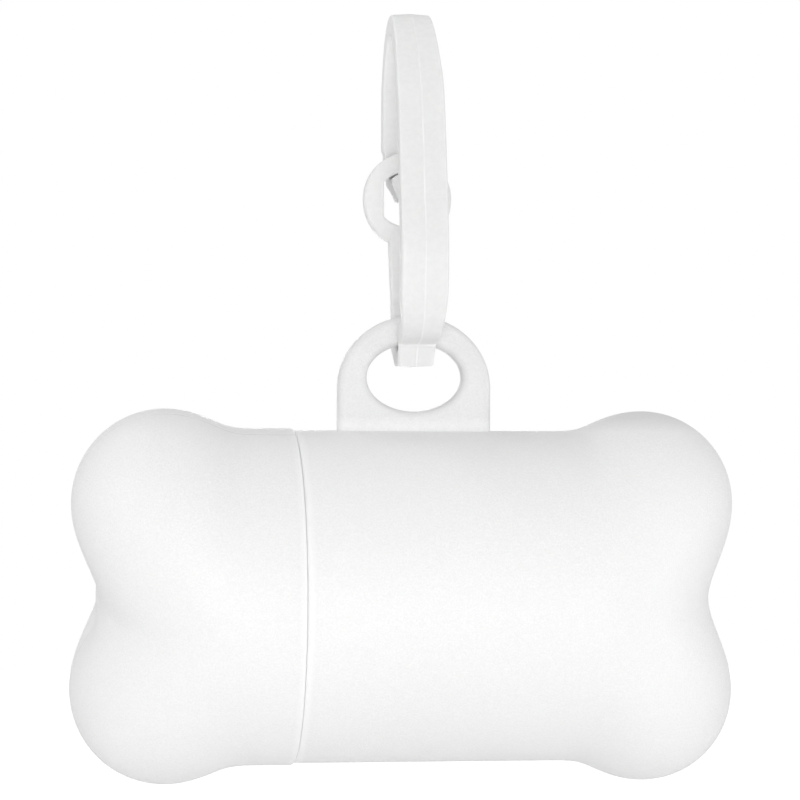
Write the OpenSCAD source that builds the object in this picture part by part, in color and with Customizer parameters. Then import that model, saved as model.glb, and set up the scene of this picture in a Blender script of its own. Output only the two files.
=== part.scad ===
// Bone-shaped bag dispenser that hangs from a snap clip.
// The case unscrews in two pieces, and a roll of bags on a cardboard core lies inside.
// Millimetres, +Z up. X runs along the bone and the screw cap is at -X.
// The origin is the top of the clip's loop, where a leash carries it.
// Case modules work in the bone's frame, whose origin is the middle of the bone.
// Clip modules work from the middle of the eyelet's rim, about which the case swings.

/* [Bone outline] */
// Overall length of the bone
bone_length = 80.3; // [76:0.1:96]
// Radius of the barrel between the knobs
barrel_r = 20; // [18:0.25:24]
// Radius of the four knobs in outline
knob_r = 10.9; // [9:0.1:12.5]
// How far a knob stands above the barrel
knob_rise = 2.45; // [1:0.05:5]
// How far the hollow between the two knobs of an end lies in from them
waist_depth = 3.3; // [2:0.1:4]
// Length over which the front and back of an end curve in to the tip
dome_length = 17.3; // [15:0.1:20]

/* [Screw cap] */
// Length of the cap from the end of the bone to the seam
cap_length = 26.6; // [25:0.1:30]
// How far the cap's skin stands proud of the body's
cap_proud = 0.22; // [0:0.02:0.6]
// Gap between the cap's rim and the body
seam_gap = 0.3; // [0.2:0.05:0.6]
// Turn of the tightened cap from the line of the body, in degrees
cap_rest_turn = 15; // [0:1:30]
// Wall of the cap around the thread
cap_wall = 1.3; // [1:0.05:1.8]
// Length of the body's threaded neck
neck_length = 8; // [7:0.5:9]
// Wall of the neck under the thread
neck_wall = 1.2; // [1:0.05:1.8]
// Height of a thread ridge
thread_height = 0.7; // [0.5:0.05:0.9]
// Width of a thread ridge along the axis
thread_width = 1.4; // [1:0.1:1.6]
// Advance of the two-start thread in one turn
thread_lead = 16; // [12:1:18]
// Gap around the thread ridges
thread_gap = 0.3; // [0.2:0.05:0.4]

/* [Inside of the case] */
// Plastic left at each end of the bore, on the axis
end_wall = 7.8; // [7:0.1:9]
// Length over which the bore narrows at its closed end
bore_taper_length = 3; // [2:0.5:5]
// How much the bore's radius narrows there
bore_taper = 1.2; // [0.8:0.1:1.4]
// Radius of the bosses that centre the roll
boss_r = 3.7; // [3:0.1:4.2]
// Length of the bosses
boss_length = 4; // [3:0.5:6]
// Length of the slot that bags are pulled through
slot_length = 32; // [20:1:34]
// Width of the slot
slot_width = 5.2; // [4.8:0.1:7]
// Middle of the slot, from the middle of the bone
slot_x = 6.3; // [5:0.1:7]

/* [Roll of bags] */
// Gap between the full roll and the bore
roll_gap = 1.7; // [1:0.1:4]
// Gap between the roll and each end of the bore
roll_end_gap = 1.5; // [1:0.1:2.5]
// Wall of the cardboard core
core_wall = 1.2; // [0.8:0.1:2]
// Gap between the core and a boss
boss_gap = 0.3; // [0.2:0.05:0.4]
// Gap between the wound film and the core
wind_gap = 0.08; // [0.04:0.01:0.1]

/* [Eyelet tab] */
// Place of the tab along the bone
tab_x = 1.1; // [-3:0.1:6]
// Width of the tab
tab_width = 18.5; // [17:0.5:24]
// Thickness of the tab
tab_thickness = 3.6; // [3:0.1:3.8]
// Height of the tab above the barrel
tab_height = 13.9; // [13.5:0.1:16]
// Height of the arched part of the tab
arch_height = 8.8; // [6.5:0.1:10]
// Width of the eyelet
eyelet_width = 11.7; // [10.5:0.1:12.5]
// Height of the eyelet
eyelet_height = 8.2; // [8.1:0.1:8.8]
// Height of the rim above the eyelet
rim_height = 3.4; // [3:0.1:3.8]
// Bevel of the tab's edges
tab_bevel = 0.8; // [0.5:0.05:1]

/* [Clip] */
// Width of the clip's band at the middle of the long limb
band_width = 5.6; // [5.2:0.1:7]
// Width of the clip's band at its top, its seat and its latch arm
band_narrow = 4.5; // [4:0.1:5]
// Thickness of the band
band_thickness = 2.6; // [2.2:0.1:3]
// Thickness of the latch arm and its ring
latch_thickness = 2.2; // [1.8:0.1:2.4]
// Width of the ring
ring_width = 10.8; // [10.4:0.1:12]
// Height of the ring
ring_height = 11.6; // [11:0.1:12.6]
// Width of the bar around the ring's hole
ring_bar = 2.45; // [2:0.05:2.6]
// Gap between the clip and the eyelet's rim
rim_gap = 0.3; // [0.2:0.05:0.4]
// Gap between the ring and the hook
latch_gap = 0.3; // [0.2:0.05:0.4]
// Gap at the bend where the latch arm flexes
flex_gap = 0.5; // [0.4:0.05:0.7]

/* [Hidden] */

ring_steps = 24;      // rings of the bone's skin from its tip to the barrel
ring_points = 56;     // points in each ring
curve_steps = 5;      // points on each span of a free curve
arc_points = 20;      // points on a half ellipse
ridge_steps = 10;     // lengths in a thread ridge
bore_fn = 96;         // facets of a round bore in previews
weld = 0.4;           // how far joined shapes run into each other
colour_case = [0.95, 0.95, 0.94];
colour_clip = [0.93, 0.93, 0.93];

// One end of the bone, whose skin is drawn as reaches from the middle of its dome
half_length = bone_length / 2;
tip_x = half_length - waist_depth;
dome_x = tip_x - dome_length;
knob_middle = [half_length - knob_r - dome_x, barrel_r + knob_rise - knob_r];
blend_power = 18;     // sharpness of the necks and hollows around the knobs
knob_spread = 1.5;    // how fast a knob falls away towards the front and back
barrel_lap = 1;       // how far the rings run on over the barrel

// Radii from the skin inwards
seam_x = cap_length - half_length;
cap_bore_r = barrel_r - cap_wall;
crest_r = cap_bore_r - thread_gap;
neck_r = crest_r - thread_height;
bore_r = neck_r - neck_wall;
bore_end = tip_x - end_wall;
neck_end = seam_x - neck_length;
roll_r = bore_r - roll_gap;
roll_end = bore_end - roll_end_gap;
core_in_r = boss_r + boss_gap;
core_out_r = core_in_r + core_wall;
ridge_turn = 90;      // degrees that a thread ridge runs around the neck
ridge_x = neck_end + thread_width / 2 + thread_gap;

// Tab and eyelet
tab_top = barrel_r + tab_height;
tab_base = (barrel_r + bore_r) / 2;
arch_z = tab_top - arch_height;
eyelet_z = tab_top - rim_height - eyelet_height / 2;
rim_z = tab_top - rim_height / 2;

// The eyelet's top is lower beside the band's middle, so the seat has to clear more
rim_sag = eyelet_height / 2 * (1 - sqrt(1 - pow(band_narrow / eyelet_width, 2)));
seat_r = rim_gap + norm([tab_thickness / 2 - tab_bevel, rim_height / 2 + rim_sag]);

// Clip in the plane of Y and Z
seat_bottom = -seat_r - band_thickness * 0.75;
limb_outer = [
    [-3.6, -1.9], [-6.7, -1.1], [-9, 1], [-10.1, 4.8], [-10.3, 10.3], [-8.7, 17.8], [-6.2, 27.2],
    [-3.2, 32.5], [0.7, 36.5], [4.4, 38.5], [8.2, 38.2], [10.6, 35.4], [11, 31], [11, 22.5]
];
limb_end = limb_outer[len(limb_outer) - 1];
loop_top = [5.4, 38.6 - band_thickness];
arm_y = seat_r + latch_thickness / 2 + 0.1;
arm_in_y = limb_end[0] - band_thickness;
ring_y = arm_in_y - latch_gap - latch_thickness / 2;
ring_z = 16.2;
flex_at = [4.7, 4.6];
arm_low = [[arm_y, -2.4], [arm_y + 0.1, 1.4], flex_at];
arm_high = [flex_at, [6.2, 8.6], [ring_y, ring_z - ring_height / 2 + ring_bar * 0.6]];
flex_lean = atan2(1.55, 3.6);
hole_top = ring_z + ring_height / 2 - ring_bar;
hook_tip_z = 16;
hook_half_width = ring_width / 2 - ring_bar - 0.5;
origin_point = [tab_x, loop_top[0], rim_z + loop_top[1]];

// Reach of the dome, an ellipse, where turn is 0 along the axis and 90 across it
function dome_reach(turn) =
    turn < 90 ? 1 / norm([cos(turn) / dome_length, sin(turn) / barrel_r])
    : barrel_r / sin(turn);

// Reach of the round knob above the axis, or 0 where it is out of the way
function knob_reach(turn) =
    let (
        b = [cos(turn), sin(turn)] * knob_middle,
        room = b * b - knob_middle * knob_middle + knob_r * knob_r
    )
    b > 0 && room > 0 ? b + sqrt(room) : 0;

// Point of the bone's skin, from the dome at the front and back to the knobs above and below
function skin_point(turn, a, proud) =
    let (
        dome = dome_reach(turn),
        over_knob = dome * pow(1 + pow(knob_reach(turn) / dome, blend_power), 1 / blend_power),
        reach = dome + (over_knob - dome) * pow(abs(sin(a)), knob_spread),
        r = reach * sin(turn) * (1 + proud / barrel_r)
    )
    [dome_x + reach * cos(turn), r * cos(a), r * sin(a)];

// Point on a span of a Catmull-Rom curve
function span_point(a, b, c, d, t) =
    0.5 * (2 * b + (c - a) * t + (2 * a - 5 * b + 4 * c - d) * t * t
        + (3 * b - a - 3 * c + d) * t * t * t);

// Smooth curve through a list of points
function curve(points) =
    let (last = len(points) - 1)
    concat(
        [for (i = [0:last - 1], s = [0:curve_steps - 1])
            span_point(points[max(i - 1, 0)], points[i], points[i + 1], points[min(i + 2, last)],
                s / curve_steps)],
        [points[last]]
    );

// The points of a line moved sideways, to the right of the way that it runs
function beside(line, gap) =
    let (last = len(line) - 1)
    [for (i = [0:last])
        let (along = line[min(i + 1, last)] - line[max(i - 1, 0)])
        line[i] + gap * [along[1], -along[0]] / norm(along)];

function reversed(list) = [for (i = [len(list) - 1:-1:0]) list[i]];

// Part of an ellipse, from the angle 0, as a list of points
function ellipse(half_width, half_height, turn = 360) =
    let (steps = arc_points * turn / 180)
    [for (i = [0:turn < 360 ? steps : steps - 1])
        [half_width * cos(turn * i / steps), half_height * sin(turn * i / steps)]];

// One end of the bone as a solid, from a flat face at flat_x to the tip
module bone_end(flat_x, proud = 0) {
    last_turn = 90 + atan(min(barrel_lap, dome_x - flat_x - 0.2) / barrel_r);
    rings = [for (i = [1:ring_steps], j = [0:ring_points - 1])
        skin_point(last_turn * i / ring_steps, 360 * j / ring_points, proud)];
    rim = [for (j = [0:ring_points - 1])
        let (a = 360 * j / ring_points, r = barrel_r + proud) [flat_x, r * cos(a), r * sin(a)]];
    last = ring_steps * ring_points;
    tip_faces = [for (j = [0:ring_points - 1]) [0, 1 + (j + 1) % ring_points, 1 + j]];
    side_faces = [for (i = [0:ring_steps - 1], j = [0:ring_points - 1])
        let (k = (j + 1) % ring_points, near = 1 + i * ring_points, far = near + ring_points)
        each [[near + j, near + k, far + k], [near + j, far + k, far + j]]];
    flat_face = [for (j = [0:ring_points - 1]) 1 + last + j];
    polyhedron(concat([skin_point(0, 0, proud)], rings, rim), concat(tip_faces, side_faces, [flat_face]));
}

// A thread ridge around the X axis, from start_x and the angle start_turn
module ridge(r_in, r_out, start_x, start_turn, turn) {
    half = thread_width / 2;
    section = [[-half, r_in], [half, r_in], [half, r_out], [-half, r_out]];
    points = [for (i = [0:ridge_steps], p = section)
        let (a = turn * i / ridge_steps)
        [start_x + thread_lead * a / 360 + p[0], p[1] * cos(start_turn + a), p[1] * sin(start_turn + a)]];
    sides = [for (i = [0:ridge_steps - 1], j = [0:3])
        let (a = 4 * i + j, b = 4 * i + (j + 1) % 4) each [[a, b, b + 4], [a, b + 4, a + 4]]];
    end = 4 * ridge_steps;
    polyhedron(points, concat([[3, 2, 1, 0]], sides, [[end, end + 1, end + 2, end + 3]]));
}

// Both ridges of the two-start thread
module thread(r_in, r_out, start_x, turn) {
    for (start = [0, 180]) ridge(r_in, r_out, start_x, start, turn);
}

// Round solid on the X axis
module rod(r, from_x, to_x) {
    translate([from_x, 0, 0]) rotate([0, 90, 0]) cylinder(r = r, h = to_x - from_x, $fn = bore_fn);
}

// Bore from from_x to the closed end, where it narrows to follow the dome
module bore(from_x) {
    taper_x = bore_end - bore_taper_length;
    rod(bore_r, from_x, taper_x + weld);
    translate([taper_x, 0, 0]) rotate([0, 90, 0])
        cylinder(r1 = bore_r, r2 = bore_r - bore_taper, h = bore_taper_length, $fn = bore_fn);
}

module slot() {
    half = slot_length / 2 - slot_width / 2;
    translate([slot_x, bore_r - 2, 0]) rotate([-90, 0, 0]) {
        for (side = [-1, 1])
            translate([side * half, 0, 0]) cylinder(d = slot_width, h = barrel_r, $fn = 32);
        translate([-half, -slot_width / 2, 0]) cube([2 * half, slot_width, barrel_r]);
    }
}

// The tab's plate, a rectangle under half an ellipse, drawn smaller by inset
module tab_plate(inset, thickness) {
    rotate([90, 0, 0]) linear_extrude(thickness, center = true) polygon(concat(
        [for (p = ellipse(tab_width / 2 - inset, arch_height - inset, 180)) p + [tab_x, arch_z]],
        [[tab_x - tab_width / 2 + inset, tab_base], [tab_x + tab_width / 2 - inset, tab_base]]
    ));
}

module eyelet(grow, thickness) {
    translate([tab_x, 0, eyelet_z]) rotate([90, 0, 0]) linear_extrude(thickness, center = true)
        polygon(ellipse(eyelet_width / 2 + grow, eyelet_height / 2 + grow));
}

// Tab with bevelled edges, pierced by the eyelet
module tab() {
    face = 0.02;
    difference() {
        hull() {
            tab_plate(0, tab_thickness - 2 * tab_bevel);
            tab_plate(tab_bevel, tab_thickness);
        }
        eyelet(0, tab_thickness + 1);
        for (side = [-1, 1]) hull() {
            translate([0, side * (tab_thickness / 2 - tab_bevel), 0]) eyelet(0, face);
            translate([0, side * (tab_thickness / 2 + face), 0]) eyelet(tab_bevel, face);
        }
    }
}

module at_origin() {
    translate(-origin_point) children();
}

module case_body() {
    color(colour_case) at_origin() {
        difference() {
            union() {
                bone_end(seam_x);
                rod(neck_r, neck_end, seam_x + weld);
                thread(neck_r - weld, crest_r, ridge_x, ridge_turn);
                tab();
            }
            bore(neck_end - 1);
            slot();
        }
        rod(boss_r, bore_end - boss_length, bore_end + weld);
    }
}

module screw_cap() {
    rim_x = seam_x - seam_gap;
    thread_end = neck_end - seam_gap;
    color(colour_case) at_origin() {
        difference() {
            rotate([cap_rest_turn, 0, 0]) mirror([1, 0, 0]) bone_end(-rim_x, cap_proud);
            rod(cap_bore_r, thread_end, seam_x);
            mirror([1, 0, 0]) bore(-seam_x);
        }
        thread(neck_r + thread_gap, cap_bore_r + weld, ridge_x + thread_width + thread_gap,
            ridge_turn * 0.8);
        rod(boss_r, -bore_end - weld, boss_length - bore_end);
    }
}

// Draws in the plane of Y and Z, and makes it as wide as told along X
module across(width) {
    rotate([90, 0, 90]) linear_extrude(width, center = true) children();
}

// The band between a line and the same line moved inwards
module strip(line, thickness) {
    polygon(concat(line, reversed(beside(line, thickness))));
}

module flex_cut() {
    translate(flex_at) rotate(-flex_lean) square([2 * latch_thickness, flex_gap], center = true);
}

// Lower arm as far as the bend, or from the bend upwards
module arm(points) {
    line = curve(points);
    difference() {
        strip(beside(line, -latch_thickness / 2), latch_thickness);
        flex_cut();
    }
}

// V-shaped bottom of the loop, rounded inside for the eyelet's rim
module seat() {
    limb_foot = limb_outer[0];
    across(band_narrow) difference() {
        polygon([
            limb_foot + [-1.2, 0.4], limb_foot, [-2.4, seat_bottom], [2.2, seat_bottom],
            [arm_y + latch_thickness / 2, arm_low[0][1]], [arm_y, -1], [-2.4, 0],
            limb_foot + [0.65, band_thickness - 0.05], limb_foot + [-1.2, band_thickness - 0.1]
        ]);
        circle(r = seat_r, $fn = 64);
    }
    across(band_narrow) arm(arm_low);
}

// Long limb and upper arm, narrower at the top and at the seat
module limb() {
    top = limb_outer[9][1] + 1;
    half = band_width / 2;
    end_half = band_narrow / 2;
    intersection() {
        across(band_width) strip(curve(limb_outer), band_thickness);
        rotate([90, 0, 0]) linear_extrude(4 * band_thickness + 30, center = true) polygon([
            [-end_half, -3], [end_half, -3], [half, 3.8], [half, 30], [end_half + 0.1, top],
            [-end_half - 0.1, top], [-half, 30], [-half, 3.8]
        ]);
    }
}

// The ring's straight-sided hole, drawn larger by grow
module ring_hole(grow) {
    half_hole = ring_width / 2 - ring_bar + grow;
    intersection() {
        polygon(ellipse(half_hole * 1.3, ring_height / 2 - ring_bar + grow));
        square([2 * half_hole, ring_height], center = true);
    }
}

module at_ring() {
    translate([0, ring_y, ring_z]) rotate([90, 0, 0]) children();
}

// Arrow-shaped end of the upper arm, with a tooth that catches in the ring
module hook() {
    shoulder = hole_top - latch_gap;
    root = limb_end[1] + weld;
    tip_half = hook_half_width / 2;
    intersection() {
        across(band_width) polygon([
            [limb_end[0], root], [arm_in_y, root], [arm_in_y, hook_tip_z],
            [arm_in_y + 1, hook_tip_z], [limb_end[0], shoulder]
        ]);
        rotate([90, 0, 0]) linear_extrude(40, center = true) polygon([
            [-tip_half, hook_tip_z], [tip_half, hook_tip_z], [hook_half_width, shoulder],
            [band_width / 2, root], [-band_width / 2, root], [-hook_half_width, shoulder]
        ]);
    }
    intersection() {
        across(band_width) polygon([
            [arm_in_y + weld, shoulder], [ring_y - latch_thickness / 2, shoulder],
            [arm_in_y, hook_tip_z], [arm_in_y + weld, hook_tip_z]
        ]);
        at_ring() linear_extrude(3 * latch_thickness, center = true) ring_hole(-latch_gap);
    }
}

module from_rim() {
    translate([0, -loop_top[0], -loop_top[1]]) children();
}

module clip_spine() {
    color(colour_clip) from_rim() {
        seat();
        limb();
        hook();
    }
}

// Ring at the end of the latch arm
module ring() {
    at_ring() linear_extrude(latch_thickness, center = true) difference() {
        polygon(ellipse(ring_width / 2, ring_height / 2));
        ring_hole(0);
    }
}

module clip_latch() {
    color(colour_clip) from_rim() {
        across(band_narrow) arm(arm_high);
        ring();
    }
}

module roll_core() {
    color([0.72, 0.6, 0.45]) at_origin() difference() {
        rod(core_out_r, -roll_end, roll_end);
        rod(core_in_r, -roll_end - 1, roll_end + 1);
    }
}

module bag_roll() {
    color([0.15, 0.16, 0.17]) at_origin() difference() {
        rod(roll_r, -roll_end, roll_end);
        rod(core_out_r + wind_gap, -roll_end - 1, roll_end + 1);
    }
}

case_body();
screw_cap();
clip_spine();
clip_latch();
roll_core();
bag_roll();
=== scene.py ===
import math

import bmesh
import bpy
from bmesh.types import BMEdge, BMFace, BMVert
from mathutils import Matrix, Vector


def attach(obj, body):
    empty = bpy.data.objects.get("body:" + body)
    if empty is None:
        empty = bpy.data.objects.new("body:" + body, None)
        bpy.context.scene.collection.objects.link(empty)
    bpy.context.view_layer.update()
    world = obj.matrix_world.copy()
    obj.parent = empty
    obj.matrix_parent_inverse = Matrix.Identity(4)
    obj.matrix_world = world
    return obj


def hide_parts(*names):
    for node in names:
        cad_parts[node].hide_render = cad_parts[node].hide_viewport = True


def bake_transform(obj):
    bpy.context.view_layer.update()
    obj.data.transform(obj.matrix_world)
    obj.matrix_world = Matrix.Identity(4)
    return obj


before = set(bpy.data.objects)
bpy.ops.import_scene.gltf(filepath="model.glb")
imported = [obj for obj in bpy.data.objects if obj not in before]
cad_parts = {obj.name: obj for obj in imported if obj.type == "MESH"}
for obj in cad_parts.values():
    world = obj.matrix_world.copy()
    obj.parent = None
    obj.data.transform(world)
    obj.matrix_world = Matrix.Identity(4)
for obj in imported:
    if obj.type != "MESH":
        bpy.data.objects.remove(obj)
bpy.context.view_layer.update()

# Sizes in millimetres. The bone is drawn about its own middle, with X along it, and the clip about
# the middle of the eyelet's rim. Each origin is the frame's, as seen from that middle.
MM = 0.001
BONE_ORIGIN = Vector((1.1, 5.4, 68.2))
CLIP_ORIGIN = Vector((0, 5.4, 36.0))

# Skin of the bone: a barrel that ends in domes, with two knobs on each dome
BARREL_R = 20.0
TIP_X = 36.85
DOME_LENGTH = 17.3
DOME_FULLNESS = 0.25
DOME_X = TIP_X - DOME_LENGTH
KNOB_R = 10.9
KNOB_RISE = 2.45
KNOB_END = 40.15
KNOB_MIDDLE = Vector((KNOB_END - KNOB_R - DOME_X, BARREL_R + KNOB_RISE - KNOB_R))
KNOB_SPREAD = 1.5
TIP_SPREAD = 0.5
TIP_POWER = 12
BLEND_POWER = 18
LAST_TURN = math.pi / 2 + math.atan(1 / BARREL_R)

# Seam, threads and inside
SEAM_X = -13.55
SEAM_GAP = 0.3
RIM_GAP = 0.13
CAP_PROUD = 0.22
CAP_TURN = 15
CAP_BORE_R = 18.7
CREST_R = 18.4
NECK_R = 17.7
NECK_END = -21.55
BORE_R = 16.5
END_WALL = 7.8
BORE_END = TIP_X - END_WALL
BOSS_R = 3.7
THREAD_LEAD = 16

# Slot for the bags, in the back of the barrel
SLOT_X = 6.3
SLOT_HALF = 16
SLOT_R = 2.6

# Tab and the eyelet in it
TAB_X = 1.1
TAB_WIDTH = 18.5
TAB_THICKNESS = 3.6
TAB_TOP = 33.9
TAB_BEVEL = 0.85
ARCH = 8.8
EYELET = (11.7, 8.2)
ABOVE_EYELET = 3.4
EYELET_Z = TAB_TOP - ABOVE_EYELET - EYELET[1] / 2
EYELET_BEVEL = 0.95

# Clip: the side view is drawn as pairs of (y, z), and a half is (half width, half height)
RIM_R = 2.56
BAND = 2.6
BAND_CORNER = 0.17
ARM_BAND = 2.2
ARM_WIDTH = 4.5
ARM_Y = RIM_R + ARM_BAND / 2 + 0.1
LIMB_WIDTH = 5.6
LIMB_FRONT = 11
LIMB = [(-3.6, -1.9), (-6.7, -1.1), (-9, 1), (-10.1, 4.8), (-10.3, 10.3), (-8.7, 17.8),
        (-6.2, 27.2), (-3.2, 32.6), (0.7, 36.75), (4.4, 38.8), (8.2, 38.5), (10.6, 35.5),
        (LIMB_FRONT, 31), (LIMB_FRONT, 22.5)]
SEAT_TOP = -1.9
SEAT_BOTTOM = -4.51
SEAT_TAPER = 0.35
RING = (7.0, 16.2)
RING_HALF = (5.4, 5.8)
HOLE_SIDE = 2.95
HOLE_HALF = (HOLE_SIDE * 1.3, RING_HALF[1] - 2.45)
ARM = [(ARM_Y, -2.4), (ARM_Y + 0.1, 1.4), (4.7, 4.6), (6.2, 8.6), (RING[0], 11.9)]
BEND_Z = 3.0

# Roll of bags and its core, whose radii are (bore, outside)
CORE_R = (4.0, 5.2)
ROLL_END = 27.55
ROLL_R = 14.8


def turned_about_x(radius, turn):
    """The y and z of a point at a radius from the X axis."""
    return radius * math.cos(turn), radius * math.sin(turn)


# Skin of one end of the bone, as reaches from the middle of its dome

def dome_reach(turn):
    """Reach of the dome, and past the quarter turn of the barrel's first strip."""
    if turn >= math.pi / 2:
        return BARREL_R / math.sin(turn)
    return 1 / math.hypot(math.cos(turn) / (DOME_LENGTH + DOME_FULLNESS), math.sin(turn) / BARREL_R)


def knob_reach(turn):
    """Reach of the round knob above the axis, or 0 where it is out of the way."""
    along = Vector((math.cos(turn), math.sin(turn))).dot(KNOB_MIDDLE)
    room = along * along - KNOB_MIDDLE.dot(KNOB_MIDDLE) + KNOB_R ** 2
    return along + math.sqrt(room) if along > 0 and room > 0 else 0


def skin_point(t, around, proud):
    """Point of the skin, from the tip at 0 to the barrel at 1, where it stands out by proud."""
    turn = t * LAST_TURN
    dome = dome_reach(turn)
    over_knob = (dome ** BLEND_POWER + knob_reach(turn) ** BLEND_POWER) ** (1 / BLEND_POWER)
    spread = KNOB_SPREAD + TIP_SPREAD * max(0, math.cos(turn)) ** TIP_POWER
    reach = dome + (over_knob - dome) * abs(math.sin(around)) ** spread
    radius = reach * math.sin(turn) * (1 + proud / BARREL_R)
    return Vector((DOME_X + reach * math.cos(turn), *turned_about_x(radius, around)))


# Mesh helpers

def only(kind, geometry):
    return [g for g in geometry if isinstance(g, kind)]


def circle(bm, segments, radius=1, filled=True):
    return bmesh.ops.create_circle(bm, cap_ends=filled, radius=radius, segments=segments)["verts"]


def weld(bm, distance=0.002):
    bmesh.ops.remove_doubles(bm, verts=bm.verts, dist=distance)
    bmesh.ops.recalc_face_normals(bm, faces=bm.faces)


def to_object(bm, name):
    mesh = bpy.data.meshes.new(name)
    bm.to_mesh(mesh)
    bm.free()
    made = bpy.data.objects.new(name, mesh)
    bpy.context.collection.objects.link(made)
    return made


def finish_mesh(bm, name, origin, sharp=32):
    """Closes a mesh, marks its edges over the sharp angle and makes it an object in metres."""
    weld(bm)
    for face in bm.faces:
        face.smooth = True
    for edge in bm.edges:
        edge.smooth = not (edge.is_manifold and edge.calc_face_angle(0) > math.radians(sharp))
    bmesh.ops.translate(bm, verts=bm.verts, vec=-origin)
    bmesh.ops.scale(bm, verts=bm.verts, vec=(MM, MM, MM))
    return to_object(bm, name)


def as_tool(bm, name):
    """Makes a mesh in millimetres an object that another one is joined with or cut by."""
    weld(bm)
    return to_object(bm, name)


def carve(bm, steps):
    """Joins a mesh with others or cuts it by them in turn. Each step is (operation, mesh)."""
    work = as_tool(bm, "work")
    tools = []
    for number, (operation, other) in enumerate(steps):
        tool = as_tool(other, "tool_%d" % number)
        tools.append(tool)
        change = work.modifiers.new("carve_%d" % number, "BOOLEAN")
        change.operation = operation
        change.solver = "EXACT"
        change.object = tool
    bpy.context.view_layer.update()
    depsgraph = bpy.context.evaluated_depsgraph_get()
    carved = bmesh.new()
    carved.from_mesh(work.evaluated_get(depsgraph).to_mesh())
    for spent in [work] + tools:
        mesh = spent.data
        bpy.data.objects.remove(spent)
        bpy.data.meshes.remove(mesh)
    return carved


def thicken(bm, way):
    """Extrudes all the faces along a vector. Gives the moved vertices."""
    moved = only(BMVert, bmesh.ops.extrude_face_region(bm, geom=bm.faces[:])["geom"])
    bmesh.ops.translate(bm, verts=moved, vec=way)
    return moved


def stack(bm, levels):
    """Lifts a mesh's one face through the levels. Gives each (level, growth, its vertices)."""
    top = bm.faces[:]
    for number, (level, growth) in enumerate(levels):
        if number:
            made = bmesh.ops.extrude_face_region(bm, geom=top)["geom"]
            if number > 1:
                bmesh.ops.delete(bm, geom=top, context="FACES_ONLY")
            top = only(BMFace, made)
        yield level, growth, set(v for f in top for v in f.verts)


def soften(bm, edges, offset, segments):
    bmesh.ops.bevel(bm, geom=edges, offset=offset, offset_type="OFFSET", segments=segments,
                    profile=0.5, affect="EDGES", clamp_overlap=False, material=-1)


# Case

def turned_shell(profile, proud=0, steps=180):
    """Spins a profile about X: a number is a place on the bone's skin, a pair is (x, radius)."""
    bm = bmesh.new()
    place = bm.verts.layers.int.new("place")
    before = None
    for number, _ in enumerate(profile):
        vert = bm.verts.new((number, 1, 0))
        vert[place] = number
        if before:
            bm.edges.new((before, vert))
        before = vert
    bmesh.ops.spin(bm, geom=bm.verts[:] + bm.edges[:], cent=(0, 0, 0), axis=(1, 0, 0),
                   dvec=(0, 0, 0), angle=math.tau, steps=steps, use_merge=True)
    for vert in bm.verts:
        turn = math.atan2(vert.co.z, vert.co.y)
        spot = profile[vert[place]]
        if isinstance(spot, tuple):
            vert.co = (spot[0], *turned_about_x(spot[1], turn))
        else:
            vert.co = skin_point(spot, turn, proud)
    weld(bm, 0.001)
    return bm


SKIN_STEPS = 84
SKIN = [i / SKIN_STEPS for i in range(SKIN_STEPS + 1)]

# From the bore's closed end to the top of the boss that carries the core
CLOSED_END = [(BORE_END - x, radius) for x, radius in (
    (3, BORE_R), (0.3, BORE_R - 1.08), (0, BORE_R - 1.5), (0, BOSS_R + 0.5), (0.15, BOSS_R + 0.15),
    (0.5, BOSS_R), (3.6, BOSS_R), (3.88, BOSS_R - 0.12), (4, BOSS_R - 0.4), (4, 0))]

# Section of a thread ridge as (along the axis, share of its height)
RIDGE = [(-0.7, 0), (-0.62, 0.75), (-0.4, 1), (0.4, 1), (0.62, 0.75), (0.7, 0)]


def thread_ridges(r_low, r_high, start_x, turn, steps=24):
    """Both ridges of the two-start thread, with rounded crests."""
    bm = bmesh.new()
    for start in (0, math.pi):
        verts = [bm.verts.new((start_x + x, *turned_about_x(r_low + (r_high - r_low) * h, start)))
                 for x, h in RIDGE]
        bmesh.ops.spin(bm, geom=[bm.faces.new(verts)], cent=(0, 0, 0), axis=(1, 0, 0),
                       dvec=(THREAD_LEAD * turn / 360 / steps, 0, 0),
                       angle=math.radians(turn), steps=steps)
    return bm


def slot_cutter():
    """Rounded slot through the back of the barrel, with its lips eased inside and out."""
    bm = bmesh.new()
    straight = SLOT_HALF - SLOT_R
    for vert in circle(bm, 48, SLOT_R):
        x = vert.co.x + math.copysign(straight, vert.co.x) + SLOT_X
        vert.co = (x, 0, vert.co.y)
    grown = 0
    # Each level is (y, growth of the outline)
    levels = [(14, 0.55), (15.9, 0.55), (16.35, 0.45), (16.8, 0.15), (17.2, 0), (19.1, 0),
              (19.5, 0.14), (19.75, 0.4), (19.95, 0.85), (21.5, 3.2)]
    for level, growth, verts in stack(bm, levels):
        for vert in verts:
            x = vert.co.x - SLOT_X
            middle = math.copysign(min(abs(x), straight), x)
            vert.co += Vector((x - middle, 0, vert.co.z)).normalized() * (growth - grown)
            vert.co.y = level
        grown = growth
    return bm


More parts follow.
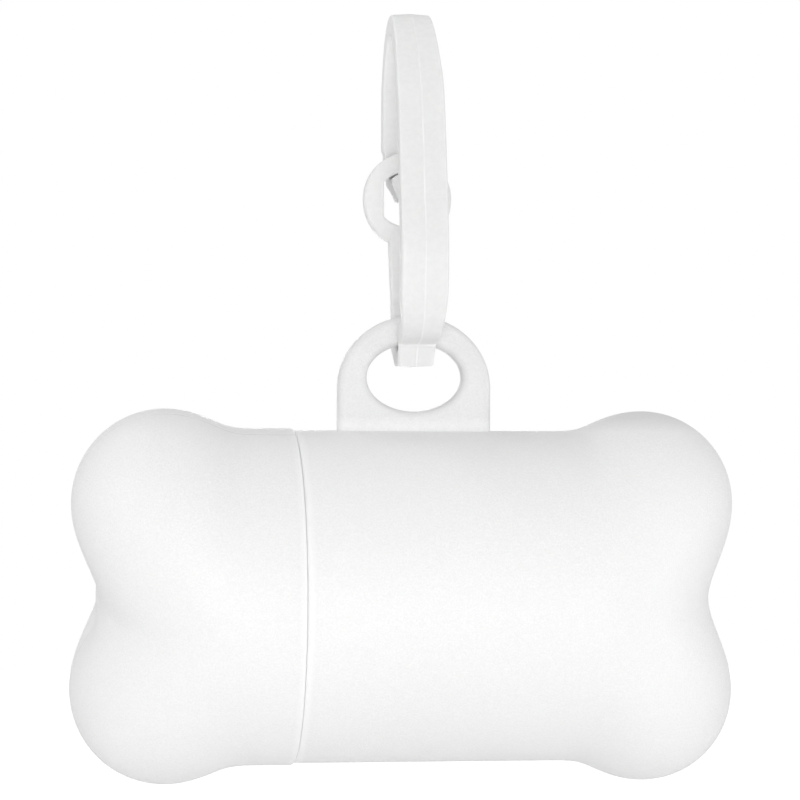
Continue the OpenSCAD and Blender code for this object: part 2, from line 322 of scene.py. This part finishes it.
def tab_block():
    """Arched tab with softly bevelled faces. Its foot is sunk into the barrel's wall."""
    bm = bmesh.new()
    foot = (BARREL_R + BORE_R) / 2
    for vert in circle(bm, 128):
        x, y = vert.co.x * TAB_WIDTH / 2, vert.co.y
        if y < -1e-4:
            vert.co = (math.copysign(TAB_WIDTH / 2, x + 1e-6) + TAB_X, -TAB_THICKNESS / 2, foot)
        else:
            vert.co = (x + TAB_X, -TAB_THICKNESS / 2, TAB_TOP - ARCH + ARCH * y)
    bmesh.ops.remove_doubles(bm, verts=bm.verts, dist=0.001)
    thicken(bm, (0, TAB_THICKNESS, 0))
    bmesh.ops.recalc_face_normals(bm, faces=bm.faces)
    rims = [e for e in bm.edges if abs(e.verts[0].co.y - e.verts[1].co.y) < 0.01
            and max(v.co.z for v in e.verts) > foot + 0.2]
    soften(bm, rims, TAB_BEVEL, 5)
    return bm


def eyelet_cutter():
    """Oval hole whose edges are eased on both faces of the tab."""
    bm = bmesh.new()
    wide, high = EYELET[0] / 2, EYELET[1] / 2
    for vert in circle(bm, 128):
        vert.co = (TAB_X + vert.co.x * wide, 0, EYELET_Z + vert.co.y * high)
    face_y = -TAB_THICKNESS / 2
    levels = [(face_y - 0.6, EYELET_BEVEL + 0.6)] + [
        (face_y + EYELET_BEVEL * (1 - math.cos(a)), EYELET_BEVEL * (1 - math.sin(a)))
        for a in [math.radians(15 * i) for i in range(7)]]
    levels += [(-y, growth) for y, growth in reversed(levels)]
    for level, growth, verts in stack(bm, levels):
        for vert in verts:
            a = math.atan2((vert.co.z - EYELET_Z) * wide, (vert.co.x - TAB_X) * high)
            vert.co = (TAB_X + (wide + growth) * math.cos(a), level,
                       EYELET_Z + (high + growth) * math.sin(a))
    return bm


def make_case_body():
    shoulder = [(0.6, 0), (0.35, -0.02), (0.12, -0.07), (0, -0.16), (-0.06, -0.3), (-0.14, -0.5)]
    profile = SKIN + [(0.0, BARREL_R)] + [(SEAM_X + x, BARREL_R + r) for x, r in shoulder] + [
        (SEAM_X - 0.14, NECK_R + 0.3), (SEAM_X - 0.09, NECK_R + 0.09), (SEAM_X - 0.3, NECK_R),
        (NECK_END + 0.4, NECK_R), (NECK_END + 0.12, NECK_R - 0.12), (NECK_END, NECK_R - 0.4),
        (NECK_END, BORE_R + 0.3), (NECK_END + 0.09, BORE_R + 0.09), (NECK_END + 0.3, BORE_R),
    ] + CLOSED_END
    body = carve(turned_shell(profile), [
        ("UNION", tab_block()),
        ("DIFFERENCE", eyelet_cutter()),
        ("DIFFERENCE", slot_cutter()),
        ("UNION", thread_ridges(r_low=NECK_R - 0.3, r_high=CREST_R, start_x=NECK_END + 1.0,
                                turn=90)),
    ])
    return finish_mesh(body, "bone_body", BONE_ORIGIN)


def make_cap():
    """Cap, drawn with its tip to the right like the body and then mirrored and turned."""
    rim_x, skin_r, socket_end = RIM_GAP - SEAM_X, BARREL_R + CAP_PROUD, SEAM_GAP - NECK_END
    rim = [(0.24, skin_r), (0.1, skin_r - 0.04), (0, skin_r - 0.15), (0, BARREL_R - 0.34),
           (0.18, BARREL_R - 0.52), (0.18, CAP_BORE_R + 0.3), (0.28, CAP_BORE_R + 0.08),
           (0.5, CAP_BORE_R)]
    profile = SKIN + [(rim_x + x, radius) for x, radius in rim] + [
        (socket_end, CAP_BORE_R), (socket_end, BORE_R)] + CLOSED_END
    cap = turned_shell(profile, CAP_PROUD)
    bmesh.ops.scale(cap, verts=cap.verts, vec=(-1, 1, 1))
    bmesh.ops.recalc_face_normals(cap, faces=cap.faces)
    bmesh.ops.rotate(cap, verts=cap.verts, cent=(0, 0, 0),
                     matrix=Matrix.Rotation(math.radians(CAP_TURN), 3, "X"))
    ridges = thread_ridges(r_low=CAP_BORE_R + 0.3, r_high=NECK_R + 0.3, start_x=NECK_END + 2.7,
                           turn=72)
    return finish_mesh(carve(cap, [("UNION", ridges)]), "screw_on_end", BONE_ORIGIN)


# Clip

def span_point(a, b, c, d, t):
    """Point of a Catmull-Rom span that runs from b to c."""
    return (b * 2 + (c - a) * t + (a * 2 - b * 5 + c * 4 - d) * t * t
            + (b * 3 - a - c * 3 + d) * t ** 3) * 0.5


def curve(points, steps):
    points = [Vector(p) for p in points]
    last = len(points) - 1
    line = [span_point(points[max(i - 1, 0)], points[i], points[i + 1], points[min(i + 2, last)],
                       s / steps) for i in range(last) for s in range(steps)]
    return line + [points[last]]


def beside(line, gap):
    """The line moved sideways, to the right of the way that it runs."""
    last = len(line) - 1
    moved = []
    for i, point in enumerate(line):
        along = line[min(i + 1, last)] - line[max(i - 1, 0)]
        moved.append(point + Vector((along.y, -along.x)).normalized() * gap)
    return moved


def limb_width(z):
    """Width of the long limb: it grows from the seat upwards and narrows over the top."""
    narrow_from, narrow_over, narrowing, grow_over = 30, 9.5, 0.9, 5.7
    if z > narrow_from:
        return LIMB_WIDTH - (z - narrow_from) / narrow_over * narrowing
    share = min(1, max(0, (z - SEAT_TOP) / grow_over))
    return ARM_WIDTH + (LIMB_WIDTH - ARM_WIDTH) * share ** 0.8


def section(width, thickness, crown):
    """Chamfered section of the band as points of (across, out from the inner face)."""
    half = width / 2
    corner = min(BAND_CORNER, thickness * 0.3)
    points = []
    for side, face, start in ((1, 0, 270), (1, 1, 0), (-1, 1, 90), (-1, 0, 180)):
        across = side * (half - corner)
        out = face * (thickness - crown) + (1 - 2 * face) * corner
        for a in (math.radians(start), math.radians(start + 90)):
            points.append((across + corner * math.cos(a), out + corner * math.sin(a)))
        if (side, face) == (1, 1):
            points.append((0, thickness))
    points.append((0, 0))
    return points


def ribbon(stations, crown):
    """Sweeps the band's section along stations of (outer point, inner point, width)."""
    bm = bmesh.new()
    place = bm.verts.layers.int.new("place")
    ring = circle(bm, len(section(ARM_WIDTH, BAND, crown)))
    for number, vert in enumerate(ring):
        vert[place] = number
    edges = bm.edges[:]
    for number, (outer, inner, width) in enumerate(stations):
        if number:
            made = bmesh.ops.extrude_edge_only(bm, edges=edges)["geom"]
            ring = only(BMVert, made)
            edges = [e for e in only(BMEdge, made) if all(v in ring for v in e.verts)]
        way = outer - inner
        points = section(width, way.length, crown)
        for vert in ring:
            across, out = points[vert[place]]
            spot = inner + way.normalized() * out
            vert.co = (across, spot.x, spot.y)
    bmesh.ops.edgeloop_fill(bm, edges=edges)
    return bm


def arm_stations():
    """Stations of the lower arm from the seat to the bend, and of the latch arm above it."""
    line = curve(ARM, 12)
    outer, inner = beside(line, ARM_BAND / 2), beside(line, -ARM_BAND / 2)
    stations = [(o, i, ARM_WIDTH) for o, i in zip(outer, inner)]
    seat, bend = (min(range(len(line)), key=lambda i: abs(line[i].y - z)) for z in (0.5, BEND_Z))
    return stations[seat:bend + 1], stations[bend:]


def seat_stations():
    """Stations round the V-shaped seat, whose inner face is rounded for the rim."""
    corners = [Vector(p) for p in ((ARM_Y + 1.1, 0.2), (ARM_Y + 1.1, -2.4), (2.2, SEAT_BOTTOM),
                                   (-2.4, SEAT_BOTTOM), LIMB[0])]
    outer = [first.lerp(second, step / 6) for first, second in zip(corners, corners[1:])
             for step in range(6)]
    foot = corners[-1]
    stations = []
    for point in outer + [foot]:
        share = min(1, max(0, (point.y - SEAT_TOP) / (SEAT_BOTTOM - SEAT_TOP)))
        stations.append((point, point.normalized() * RIM_R, ARM_WIDTH - SEAT_TAPER * share))
    # One last station leads the section into the limb's direction
    return stations + [(foot + Vector((-0.02, 0.006)), Vector((-2.52, -0.35)), ARM_WIDTH)]


def make_clip_loop():
    """Seat, long limb, top bend and the arrow-shaped end that carries the tooth, in one sweep."""
    arm = list(reversed(arm_stations()[0]))
    outer = curve(LIMB, 8)
    limb = [(o, i, limb_width(o.y)) for o, i in zip(outer, beside(outer, BAND))][1:]
    inner_y = LIMB_FRONT - BAND
    arrow = [(Vector((LIMB_FRONT, z)), Vector((inner_y, z)), width)
             for z, width in ((22, 5.2), (21.5, 5.15), (20.4, 5.05), (19.45, 4.95))]
    head_top, head_length, head_width, head_taper = 19.25, 3.25, 4.9, 1.6
    for share in (0, 0.2, 0.4, 0.6, 0.8, 1):
        z = head_top - head_length * share
        arrow.append((Vector((LIMB_FRONT - head_taper * share, z)), Vector((inner_y, z)),
                      head_width * (1 - share / 2)))
    loop = ribbon(arm + seat_stations() + limb + arrow, crown=0.14)
    return finish_mesh(loop, "clip_loop", CLIP_ORIGIN, 30)


def ring_outline(bm, half_width, half_height, side=math.inf):
    """Oval about the ring's middle, whose sides are cut straight at the width given by side."""
    ring = circle(bm, 96, filled=False)
    for vert in ring:
        x = max(-side, min(side, vert.co.x * half_width))
        vert.co = (x, RING[0] - ARM_BAND / 2, RING[1] + vert.co.y * half_height)
    return ring


def make_latch():
    """Latch arm from the bend upwards, with the ring that the tooth catches in."""
    bm = bmesh.new()
    ring_outline(bm, *RING_HALF)
    ring_outline(bm, *HOLE_HALF, HOLE_SIDE)
    bmesh.ops.bridge_loops(bm, edges=bm.edges[:])
    thicken(bm, (0, ARM_BAND, 0))
    bmesh.ops.recalc_face_normals(bm, faces=bm.faces)
    rims = [e for e in bm.edges if e.is_manifold and e.calc_face_angle(0) > math.radians(60)]
    soften(bm, rims, 0.2, 1)
    latch = carve(bm, [("UNION", ribbon(arm_stations()[1], crown=0.1))])
    return finish_mesh(latch, "clip_latch_arm", CLIP_ORIGIN, 30)


def make_tooth():
    """Tooth of the arrow-shaped end, with drafted sides and a slope that the ring rides over."""
    bm = bmesh.new()
    narrow_z, bottom_z, back_y, length, slope_z = 18.1, 15.95, 9.2, 3.3, 18.9
    ring = ring_outline(bm, half_width=3.8, half_height=3.32, side=2.35)
    bmesh.ops.edgeloop_fill(bm, edges=bm.edges[:])
    for vert in ring:
        if vert.co.z < narrow_z:
            vert.co.z = max(vert.co.z, bottom_z)
            vert.co.x *= 1 - 0.28 * (narrow_z - vert.co.z)
        vert.co.y = back_y
    bmesh.ops.remove_doubles(bm, verts=bm.verts, dist=0.01)
    front = thicken(bm, (0, -length, 0))
    bmesh.ops.scale(bm, verts=front, vec=(0.8, 1, 1))
    cut = bmesh.ops.bisect_plane(bm, geom=bm.verts[:] + bm.edges[:] + bm.faces[:],
                                 plane_co=(0, back_y - length, slope_z),
                                 plane_no=(0, -3.25, -1.8), clear_outer=True)
    bmesh.ops.holes_fill(bm, edges=only(BMEdge, cut["geom_cut"]))
    return finish_mesh(bm, "clip_tooth", CLIP_ORIGIN, 30)


# Roll of bags

def mirrored(half):
    """The left half of a profile whose right half is given."""
    return [(-x, radius) for x, radius in reversed(half)]


def make_core():
    bore_r, outer_r = CORE_R
    bore = [(ROLL_END, bore_r + 0.3), (ROLL_END - 0.08, bore_r + 0.08), (ROLL_END - 0.3, bore_r)]
    outside = [(ROLL_END - 0.3, outer_r), (ROLL_END - 0.08, outer_r - 0.08),
               (ROLL_END, outer_r - 0.3)]
    wall = bore + mirrored(bore) + mirrored(outside) + outside + bore[:1]
    return finish_mesh(turned_shell(wall, steps=96), "card_core", BONE_ORIGIN)


def crease(x, turn):
    """Soft ripple of the film, whose folds wander along the roll."""
    return (math.sin(turn * 23 + 0.9 * math.sin(x * 0.31)) * math.sin(x * 0.24 + turn * 3)
            + 0.6 * math.sin(turn * 41 + 1.7 * math.sin(x * 0.17 + 1)))


def make_roll():
    """Wound film: the outer bag ends in a step, and soft creases run along the roll."""
    bore_r, spacing = CORE_R[1] + 0.08, 0.8
    ends = [(ROLL_END, bore_r + spacing * i) for i in range(12)]
    ends.append((ROLL_END - 0.1, ROLL_R - 0.25))
    side = [(27 - i, ROLL_R) for i in range(55)]
    bm = turned_shell(ends + side + mirrored(ends) + ends[:1], steps=192)
    step, crease_height, layer_height = 0.16, 0.025, 0.1
    for vert in bm.verts:
        x, radius = vert.co.x, math.hypot(vert.co.y, vert.co.z)
        turn = math.atan2(vert.co.z, vert.co.y) % math.tau
        if radius > ROLL_R - spacing:
            to = radius - 0.2 + step * turn / math.tau + crease_height * crease(x, turn)
            vert.co.y *= to / radius
            vert.co.z *= to / radius
        elif radius > bore_r + spacing / 2:
            vert.co.x += math.copysign(layer_height * math.sin(radius * 5.1 + turn) - 0.12, x)
    return finish_mesh(bm, "bag_film_roll", BONE_ORIGIN, 50)


# Nodes of materials. Where a socket takes metres, the length is written as millimetres times MM.

def node(tree, kind, settings=None, **values):
    made = tree.nodes.new(kind)
    for name, value in (settings or {}).items():
        setattr(made, name, value)
    for name, value in values.items():
        made.inputs[name.replace("_", " ")].default_value = value
    return made


def link(tree, out, into):
    tree.links.new(out, into)


def maths(tree, operation, first, second=None):
    made = node(tree, "ShaderNodeMath", {"operation": operation})
    for socket, value in zip(made.inputs, (first, second)):
        if isinstance(value, (int, float)):
            socket.default_value = value
        elif value is not None:
            link(tree, value, socket)
    return made.outputs[0]


def ranged(tree, value, low, high, to_low, to_high):
    made = node(tree, "ShaderNodeMapRange", None, From_Min=low, From_Max=high, To_Min=to_low,
                To_Max=to_high)
    link(tree, value, made.inputs["Value"])
    return made.outputs["Result"]


def blend_colour(tree, share, first, second, blend_type="MIX"):
    """Mixes two colours, each of which is a colour or an output."""
    made = node(tree, "ShaderNodeMix", {"data_type": "RGBA", "blend_type": blend_type})
    for socket, value in ((made.inputs[6], first), (made.inputs[7], second)):
        if isinstance(value, tuple):
            socket.default_value = (*value, 1)
        else:
            link(tree, value, socket)
    link(tree, share, made.inputs[0])
    return made.outputs[2]


def grey(level):
    return level, level, level


def on_object(tree):
    return node(tree, "ShaderNodeTexCoord").outputs["Object"]


def mapped(tree, place, **values):
    made = node(tree, "ShaderNodeMapping", None, **values)
    link(tree, place, made.inputs["Vector"])
    return made.outputs[0]


def axes(tree, place):
    parts = node(tree, "ShaderNodeSeparateXYZ")
    link(tree, place, parts.inputs[0])
    return parts.outputs


def noise(tree, place, **values):
    made = node(tree, "ShaderNodeTexNoise", None, **values)
    link(tree, place, made.inputs["Vector"])
    return made.outputs[0]


def raise_surface(tree, shader, height):
    bump = node(tree, "ShaderNodeBump", None, Strength=1.0, Distance=1.0)
    link(tree, height, bump.inputs["Height"])
    link(tree, bump.outputs[0], shader.inputs["Normal"])


def new_group(name, inputs, outputs):
    group = bpy.data.node_groups.new(name, "ShaderNodeTree")
    for label, kind in inputs:
        group.interface.new_socket(label, in_out="INPUT", socket_type=kind)
    for label in outputs:
        group.interface.new_socket(label, in_out="OUTPUT", socket_type="NodeSocketFloat")
    return (group, group.nodes.new("NodeGroupInput").outputs,
            group.nodes.new("NodeGroupOutput").inputs)


def place_group(tree, group, **values):
    return node(tree, "ShaderNodeGroup", {"node_tree": group}, **values)


def new_material(name, **values):
    material = bpy.data.materials.new(name)
    material.use_nodes = True
    shader = material.node_tree.nodes["Principled BSDF"]
    for label, value in values.items():
        shader.inputs[label.replace("_", " ")].default_value = value
    return material, material.node_tree, shader


# White plastics

# A mould line narrower than this, in millimetres, is lost here and there
FINE_LINE = 0.5


def make_moulded_grain():
    """Spark-eroded grain of a moulding and the slow unevenness of its surface."""
    group, into, out = new_group(
        "moulded_grain", [("Fineness", "NodeSocketFloat"), ("Depth", "NodeSocketFloat")],
        ["Height", "Speckle", "Mottle", "Sheen Change"])
    place = on_object(group)
    grain = noise(group, place, Detail=2.5, Roughness=0.6)
    link(group, into["Fineness"], grain.node.inputs["Scale"])
    wave = noise(group, place, Scale=55.0, Detail=2.0, Roughness=0.5)
    patch = noise(group, place, Scale=420.0, Detail=3.0, Roughness=0.55)
    height = maths(group, "MULTIPLY", grain, into["Depth"])
    sag = maths(group, "MULTIPLY", wave, 0.03 * MM)
    link(group, maths(group, "ADD", height, sag), out["Height"])
    link(group, grain, out["Speckle"])
    link(group, wave, out["Mottle"])
    link(group, patch, out["Sheen Change"])
    return group


def make_mould_line():
    """Fine line where the halves of a mould met, on a plane of a given normal and place. The same
    mask also places painted highlights, a painted shadow and a painted highlight band at the seam.

    Line is 1 in the middle of the line and 0 beside it, and Step rises from 0 to 1 across it.
    """
    group, into, out = new_group(
        "mould_line", [("Normal", "NodeSocketVector"), ("Place", "NodeSocketFloat"),
                       ("Half Width", "NodeSocketFloat"), ("Break", "NodeSocketFloat")],
        ["Line", "Step"])
    place = on_object(group)
    dot = node(group, "ShaderNodeVectorMath", {"operation": "DOT_PRODUCT"})
    link(group, place, dot.inputs[0])
    link(group, into["Normal"], dot.inputs[1])
    wander = noise(group, place, Scale=260.0, Detail=1.0)
    drift = maths(group, "MULTIPLY", maths(group, "SUBTRACT", wander, 0.5), 0.12 * MM)
    away = maths(group, "SUBTRACT", maths(group, "ADD", dot.outputs["Value"], drift),
                 into["Place"])
    share = maths(group, "DIVIDE", away, into["Half Width"])
    beyond = maths(group, "MINIMUM", maths(group, "ABSOLUTE", share), 1.0)
    near = maths(group, "SUBTRACT", 1.0, beyond)
    lost = maths(group, "MULTIPLY", ranged(group, wander, 0.4, 0.6, 0.7, 0.0), into["Break"])
    link(group, maths(group, "MULTIPLY", near, maths(group, "SUBTRACT", 1.0, lost)), out["Line"])
    over = node(group, "ShaderNodeClamp")
    link(group, maths(group, "ADD", maths(group, "MULTIPLY", share, 0.5), 0.5), over.inputs[0])
    link(group, over.outputs[0], out["Step"])
    return group


MOULDED_GRAIN = make_moulded_grain()
MOULD_LINE = make_mould_line()


def white_moulding(name, pale, dull, roughness, fineness, depth, scatter, lines, painted_light_by_height=None):
    """White moulded plastic with grain, slight changes of sheen and mould lines.

    pale and dull are the greys between which the grain varies, and scatter is the weight and the
    depth of the light that goes into the plastic. Painted light and shade by height is given as
    (height, height, grey): the white is multiplied by that grey, not at all at the first height and
    wholly at the second. Each line is (normal, place, half width, grey, rise, step); most are mould
    lines, one is a band at the seam, and the greys of some are painted highlights and one is a
    painted shadow. Lengths are in millimetres.
    """
    material, tree, shader = new_material(
        name, Specular_IOR_Level=0.45, Subsurface_Weight=scatter[0],
        Subsurface_Scale=scatter[1] * MM, Subsurface_Radius=(1.0, 0.95, 0.9))
    grain = place_group(tree, MOULDED_GRAIN, Fineness=fineness, Depth=depth * MM).outputs
    fleck = ranged(tree, grain["Speckle"], 0.38, 0.62, 0.0, 0.8)
    slow = ranged(tree, grain["Mottle"], 0.3, 0.7, 0.0, 0.2)
    colour = blend_colour(tree, maths(tree, "ADD", fleck, slow), grey(pale), grey(dull))
    # Painted light and shade: the white is made whiter or greyer between two heights.
    if painted_light_by_height:
        start, end, level = painted_light_by_height
        height = axes(tree, on_object(tree))["Z"]
        share = ranged(tree, height, start * MM, end * MM, 0.0, 1.0)
        colour = blend_colour(tree, share, colour, grey(level), "MULTIPLY")
    surface = grain["Height"]
    for normal, place, half, level, rise, step in lines:
        line = place_group(tree, MOULD_LINE, Normal=normal, Place=place * MM,
                           Half_Width=half * MM, Break=float(half < FINE_LINE)).outputs
        colour = blend_colour(tree, line["Line"], colour, grey(level))
        ridge = maths(tree, "MULTIPLY", line["Line"], rise * MM)
        ledge = maths(tree, "MULTIPLY", line["Step"], step * MM)
        surface = maths(tree, "ADD", surface, maths(tree, "ADD", ridge, ledge))
    link(tree, colour, shader.inputs["Base Color"])
    link(tree, ranged(tree, grain["Sheen Change"], 0.3, 0.7, roughness - 0.04, roughness + 0.05),
         shader.inputs["Roughness"])
    raise_surface(tree, shader, surface)
    return material


def make_whites():
    """Whites of the case, of the cap, whose mould line has turned with it, and of the clip, with
    painted highlights, painted shade and a painted shadow on some of them.
    """
    turn = math.radians(CAP_TURN)
    lean = Vector((0, math.cos(turn), math.sin(turn)))
    cap_line = -lean.dot(BONE_ORIGIN)
    # Painted highlight: a band 1 mm each side of the seam, on the case and the cap, is painted
    # whiter.
    seam_painted_highlight = ((1, 0, 0), SEAM_X - BONE_ORIGIN.x, 1.0, 0.955, 0.0, 0.0)
    case_look = {"pale": 0.905, "dull": 0.85, "roughness": 0.5, "fineness": 4800.0,
                 "depth": 0.05, "scatter": (0.08, 1.2)}
    # Painted shade: the white of the tab, above the barrel's top, is multiplied by 0.885.
    case = white_moulding(
        "matte_white_case", **case_look, painted_light_by_height=(-48.2, -46.5, 0.885),
        lines=[((0, 1, 0), -BONE_ORIGIN.y, 0.12, 0.845, 0.02, 0.01), seam_painted_highlight])
    cap = white_moulding(
        "matte_white_cap", **case_look,
        # Painted highlight and painted shadow: beside the cap's mould line a whiter line and a much
        # darker line are painted as the light and shadow of the mould's step; the step itself is a
        # bump.
        lines=[seam_painted_highlight, (tuple(lean), cap_line + 0.12, 0.14, 0.98, 0.04, 0.06),
               (tuple(lean), cap_line - 0.12, 0.14, 0.63, 0.0, 0.0)])
    # Painted light: the clip's white is made up to 9% whiter towards its top bend, where the upward
    # faces get little light.
    clip = white_moulding(
        "smooth_white_clip", pale=0.805, dull=0.775, roughness=0.46, fineness=1500.0,
        depth=0.008, scatter=(0.3, 1.5), painted_light_by_height=(-12, 2, 1.09),
        # Painted highlights: the mould line down the clip and the line along the seat's fold are
        # painted whiter than the clip; their small ridges are bumps.
        lines=[((1, 0, 0), 0.0, 0.14, 0.92, 0.04, 0.02),
               ((0, 0, 1), -37.9, 0.2, 0.99, 0.05, 0.0)])
    return case, cap, clip


# Card and film, textured from the roll's axis

def make_card():
    """Brown card wound in a spiral, with fibres and a butted seam."""
    material, tree, shader = new_material("wound_card", Specular_IOR_Level=0.3)
    parts = axes(tree, mapped(tree, on_object(tree), Location=BONE_ORIGIN * MM))
    angle = maths(tree, "ARCTAN2", parts["Z"], parts["Y"])
    turns_per_metre = 55.0
    wound = maths(tree, "ADD", maths(tree, "DIVIDE", angle, math.tau),
                  maths(tree, "MULTIPLY", parts["X"], turns_per_metre))
    seam = maths(tree, "LESS_THAN", maths(tree, "FRACT", wound), 0.03)
    along = mapped(tree, on_object(tree), Scale=(0.25, 1.0, 1.0), Rotation=(0, 0, 0.6))
    fibres = noise(tree, along, Scale=900.0, Detail=6.0, Roughness=0.7)
    colour = blend_colour(tree, fibres, (0.30, 0.19, 0.10), (0.62, 0.46, 0.29))
    link(tree, blend_colour(tree, seam, colour, (0.16, 0.10, 0.055)), shader.inputs["Base Color"])
    link(tree, ranged(tree, fibres, 0.3, 0.7, 0.8, 0.95), shader.inputs["Roughness"])
    raise_surface(tree, shader, maths(tree, "SUBTRACT", maths(tree, "MULTIPLY", fibres, 0.03 * MM),
                                      maths(tree, "MULTIPLY", seam, 0.06 * MM)))
    return material


def make_film():
    """Thin dark bag film, wound tight: creases along the roll and layers on its ends."""
    material, tree, shader = new_material("wound_bag_film", Specular_IOR_Level=0.5)
    centred = mapped(tree, on_object(tree), Location=BONE_ORIGIN * MM)
    parts = axes(tree, centred)
    radius = maths(tree, "SQRT", maths(tree, "ADD",
                                       maths(tree, "MULTIPLY", parts["Y"], parts["Y"]),
                                       maths(tree, "MULTIPLY", parts["Z"], parts["Z"])))
    wound = node(tree, "ShaderNodeTexNoise", {"noise_dimensions": "1D"}, Scale=9000.0, Detail=2.0)
    link(tree, radius, wound.inputs["W"])
    layers = wound.outputs[0]
    creases = noise(tree, mapped(tree, centred, Scale=(0.12, 1.0, 1.0)), Scale=700.0, Detail=4.0,
                    Roughness=0.6, Distortion=0.8)
    shade = maths(tree, "MULTIPLY", creases, layers)
    link(tree, blend_colour(tree, shade, (0.035, 0.04, 0.045), (0.12, 0.13, 0.14)),
         shader.inputs["Base Color"])
    link(tree, ranged(tree, creases, 0.3, 0.7, 0.28, 0.45), shader.inputs["Roughness"])
    raise_surface(tree, shader, maths(tree, "ADD", maths(tree, "MULTIPLY", creases, 0.12 * MM),
                                      maths(tree, "MULTIPLY", layers, 0.03 * MM)))
    return material


# Pieces on their bodies

def dress(piece, material, body, replaced):
    piece.data.materials.append(material)
    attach(piece, body)
    if replaced:
        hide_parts(replaced)


case_white, cap_white, clip_white = make_whites()
dress(make_case_body(), case_white, "case", "case_body")
dress(make_cap(), cap_white, "cap", "screw_cap")
dress(make_clip_loop(), clip_white, "clip", "clip_spine")
dress(make_tooth(), clip_white, "clip", None)
dress(make_core(), make_card(), "core", "roll_core")
dress(make_roll(), make_film(), "film", "bag_roll")

latch = make_latch()
latch.data.materials.append(clip_white)
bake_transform(latch)
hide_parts("clip_latch")


# Camera, light and floor, in metres

CAMERA_AIM = Vector((-0.00165, -0.0054, -0.0445))
CAMERA_DISTANCE = 0.363
CAMERA_YAW = math.radians(7.5)
CAMERA_ROLL = math.radians(0.3)
LAMP_AIM = Vector((0, -0.0054, -0.05))
# Each lamp is (name, place, width of its disk, power in watts)
LAMPS = [
    ("front_softbox", (-0.16, -1.2, -0.2), 0.66, 5.35),
    ("left_softbox", (-1.05, -0.35, 0.3), 0.7, 1.9),
    ("right_softbox", (1.15, -0.35, -0.05), 0.7, 2.8),
    ("rear_softbox", (0.1, 1.3, -0.05), 0.4, 3.6),
    ("top_softbox", (-0.5, 0.5, 0.9), 0.4, 1.2),
]
WORLD_STRENGTH = 0.655
FLOOR_Z = -0.62
FLOOR_GLOW = 0.7


def make_camera():
    camera = bpy.data.objects.new("camera", bpy.data.cameras.new("camera"))
    camera.data.lens = 134.9
    camera.data.sensor_width = 36
    camera.data.clip_start = 0.01
    towards = Vector((math.sin(CAMERA_YAW), math.cos(CAMERA_YAW), 0))
    camera.location = CAMERA_AIM - towards * CAMERA_DISTANCE
    level = Matrix.Rotation(-CAMERA_YAW, 3, "Z") @ Matrix.Rotation(math.radians(90), 3, "X")
    camera.rotation_euler = (level @ Matrix.Rotation(CAMERA_ROLL, 3, "Z")).to_euler()
    bpy.context.collection.objects.link(camera)
    bpy.context.scene.camera = camera


def make_soft_lamp(name, place, size, power):
    lamp = bpy.data.lights.new(name, "AREA")
    lamp.shape = "DISK"
    lamp.size = size
    lamp.energy = power
    holder = bpy.data.objects.new(name, lamp)
    holder.location = place
    holder.rotation_euler = (LAMP_AIM - Vector(place)).to_track_quat("-Z", "Y").to_euler()
    bpy.context.collection.objects.link(holder)


def seen_directly(tree):
    return node(tree, "ShaderNodeLightPath").outputs["Is Camera Ray"]


def make_world():
    """A white background that lights the pieces less than it shows."""
    scene = bpy.context.scene
    scene.view_settings.view_transform = "Standard"
    world = bpy.data.worlds.new("studio")
    scene.world = world
    world.use_nodes = True
    tree = world.node_tree
    back = tree.nodes["Background"]
    back.inputs["Color"].default_value = (1, 1, 1, 1)
    link(tree, ranged(tree, seen_directly(tree), 0.0, 1.0, WORLD_STRENGTH, 1.0),
         back.inputs["Strength"])


def make_floor():
    bm = bmesh.new()
    bmesh.ops.create_grid(bm, x_segments=8, y_segments=8, size=6)
    bmesh.ops.translate(bm, verts=bm.verts, vec=(0, 0, FLOOR_Z))
    floor = to_object(bm, "floor")
    material, tree, shader = new_material("pale_floor", Roughness=0.9, Specular_IOR_Level=0.1,
                                          Emission_Color=(1, 1, 1, 1))
    patches = noise(tree, on_object(tree), Scale=30.0, Detail=3.0)
    link(tree, blend_colour(tree, patches, grey(0.76), grey(0.78)), shader.inputs["Base Color"])
    link(tree, maths(tree, "MULTIPLY", seen_directly(tree), FLOOR_GLOW),
         shader.inputs["Emission Strength"])
    floor.data.materials.append(material)


make_camera()
make_world()
for lamp_values in LAMPS:
    make_soft_lamp(*lamp_values)
make_floor()
